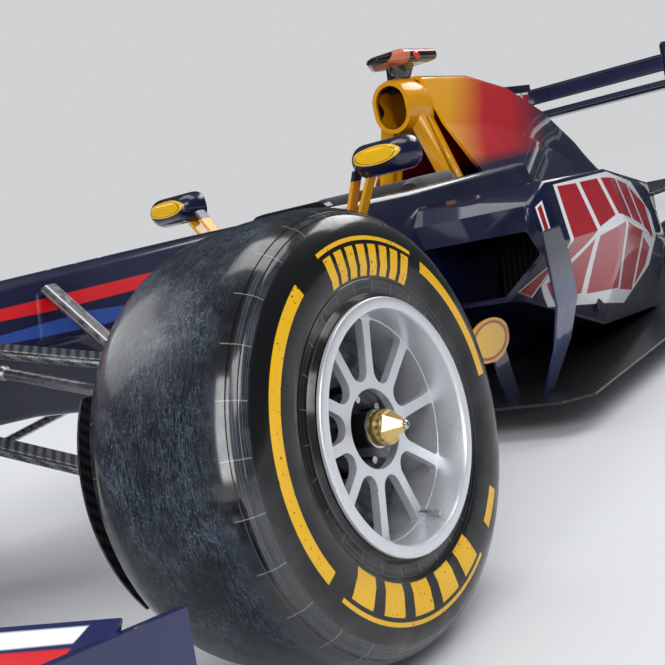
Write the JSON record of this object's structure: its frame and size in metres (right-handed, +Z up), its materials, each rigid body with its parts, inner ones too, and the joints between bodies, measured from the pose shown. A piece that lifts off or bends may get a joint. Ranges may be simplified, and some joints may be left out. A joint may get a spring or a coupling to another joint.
{
  "type": "open wheel racing car",
  "caption": "Single seater racing car with exposed wheels, steered front axle, open cockpit, air intake above it, sidepods, and front and rear wings",
  "frame": {"origin": "on the ground under the centre of the car's length and width", "axes": "+X to the car's left, -Y towards the nose, +Z up"},
  "size_m": [1.788, 4.86, 1.0589],
  "materials": {
    "navy_body": "clear coated dark blue paint",
    "yellow_body": "clear coated yellow paint",
    "carbon": "woven carbon fibre, satin lacquer",
    "tyre_rubber": "worn slick rubber",
    "magnesium": "satin silver paint on forged magnesium",
    "hub_metal": "gold anodised nut on a steel axle",
    "titanium": "machined titanium",
    "cast_alloy": "cast aluminium",
    "black_plastic": "gloss black",
    "headrest_foam": "covered foam",
    "plank_wood": "laminated wood board",
    "exhaust_steel": "heat tinted steel"
  },
  "bodies": {
    "chassis": {"monocoque": "navy_body", "nose_cone": "navy_body", "front_wing_main_plane": "navy_body", "front_wing_flaps": "navy_body", "front_wing_endplates": "navy_body", "engine_block": "cast_alloy", "gearbox": "carbon", "sidepod_left": "navy_body", "sidepod_right": "navy_body", "engine_cover": "navy_body", "air_intake": "yellow_body", "roof_camera": "black_plastic", "floor": "carbon", "plank": "plank_wood", "diffuser": "carbon", "turning_vanes": "navy_body", "mirrors": "navy_body", "headrest": "headrest_foam", "seat": "carbon", "steering_rack": "cast_alloy", "front_wishbones": "carbon", "front_pushrods": "carbon", "exhaust_pipes": "exhaust_steel", "rear_wishbones": "carbon", "rear_pullrods": "carbon", "rear_wing_endplates": "navy_body", "rear_wing_main_plane": "navy_body", "beam_wing": "carbon", "rear_uprights": "titanium", "rear_brake_duct_left": "carbon", "rear_brake_duct_right": "carbon"},
    "front_knuckle_left": {"front_upright_left": "titanium", "front_brake_duct_left": "carbon"},
    "front_knuckle_right": {"front_upright_right": "titanium", "front_brake_duct_right": "carbon"},
    "rack": {"track_rods": "titanium"},
    "steering": {"steering_wheel": "carbon", "steering_column": "titanium"},
    "wing_flap": {"rear_wing_flap": "navy_body"},
    "front_wheel_left": {"front_tyre_left": "tyre_rubber", "front_rim_left": "magnesium", "front_hub_left": "hub_metal"},
    "front_wheel_right": {"front_tyre_right": "tyre_rubber", "front_rim_right": "magnesium", "front_hub_right": "hub_metal"},
    "rear_wheel_left": {"rear_tyre_left": "tyre_rubber", "rear_rim_left": "magnesium", "rear_hub_left": "hub_metal"},
    "rear_wheel_right": {"rear_tyre_right": "tyre_rubber", "rear_rim_right": "magnesium", "rear_hub_right": "hub_metal"}
  },
  "joints": [
    {"name": "steer_left", "type": "hinge", "parent": "chassis", "child": "front_knuckle_left", "pos_m": [0.6, -1.28, 0.33], "axis": [0, 0, 1], "range_deg": [-16, 16]},
    {"name": "steer_right", "type": "hinge", "parent": "chassis", "child": "front_knuckle_right", "pos_m": [-0.6, -1.28, 0.33], "axis": [0, 0, 1], "range_deg": [-16, 16]},
    {"name": "rack_slide", "type": "slide", "parent": "chassis", "child": "rack", "axis": [1, 0, 0], "range_m": [-0.02394, 0.02394]},
    {"name": "steering_turn", "type": "hinge", "parent": "chassis", "child": "steering", "pos_m": [0, -0.288, 0.588], "axis": [0, 0.9974, 0.0724], "range_deg": [-160.5, 160.5]},
    {"name": "roll_front_left", "type": "hinge", "parent": "front_knuckle_left", "child": "front_wheel_left", "pos_m": [0.72, -1.28, 0.32959], "axis": [0.9982, 0, 0.0604], "continuous": true},
    {"name": "roll_front_right", "type": "hinge", "parent": "front_knuckle_right", "child": "front_wheel_right", "pos_m": [-0.72, -1.28, 0.32959], "axis": [0.9982, 0, -0.0604], "continuous": true},
    {"name": "roll_rear_left", "type": "hinge", "parent": "chassis", "child": "rear_wheel_left", "pos_m": [0.705, 1.87, 0.3283], "axis": [0.9997, 0, 0.0262], "continuous": true},
    {"name": "roll_rear_right", "type": "hinge", "parent": "chassis", "child": "rear_wheel_right", "pos_m": [-0.705, 1.87, 0.3283], "axis": [0.9997, 0, -0.0262], "continuous": true},
    {"name": "flap_open", "type": "hinge", "parent": "chassis", "child": "wing_flap", "pos_m": [0, 2.188, 0.934], "axis": [-1, 0, 0], "range_deg": [0, 20]}
  ],
  "couplings": [
    {"joint": "steer_right", "follows": "steer_left", "ratio": 1},
    {"joint": "rack_slide", "follows": "steer_left", "m_per_rad": 0.085},
    {"joint": "steering_turn", "follows": "steer_left", "ratio": 10}
  ]
}
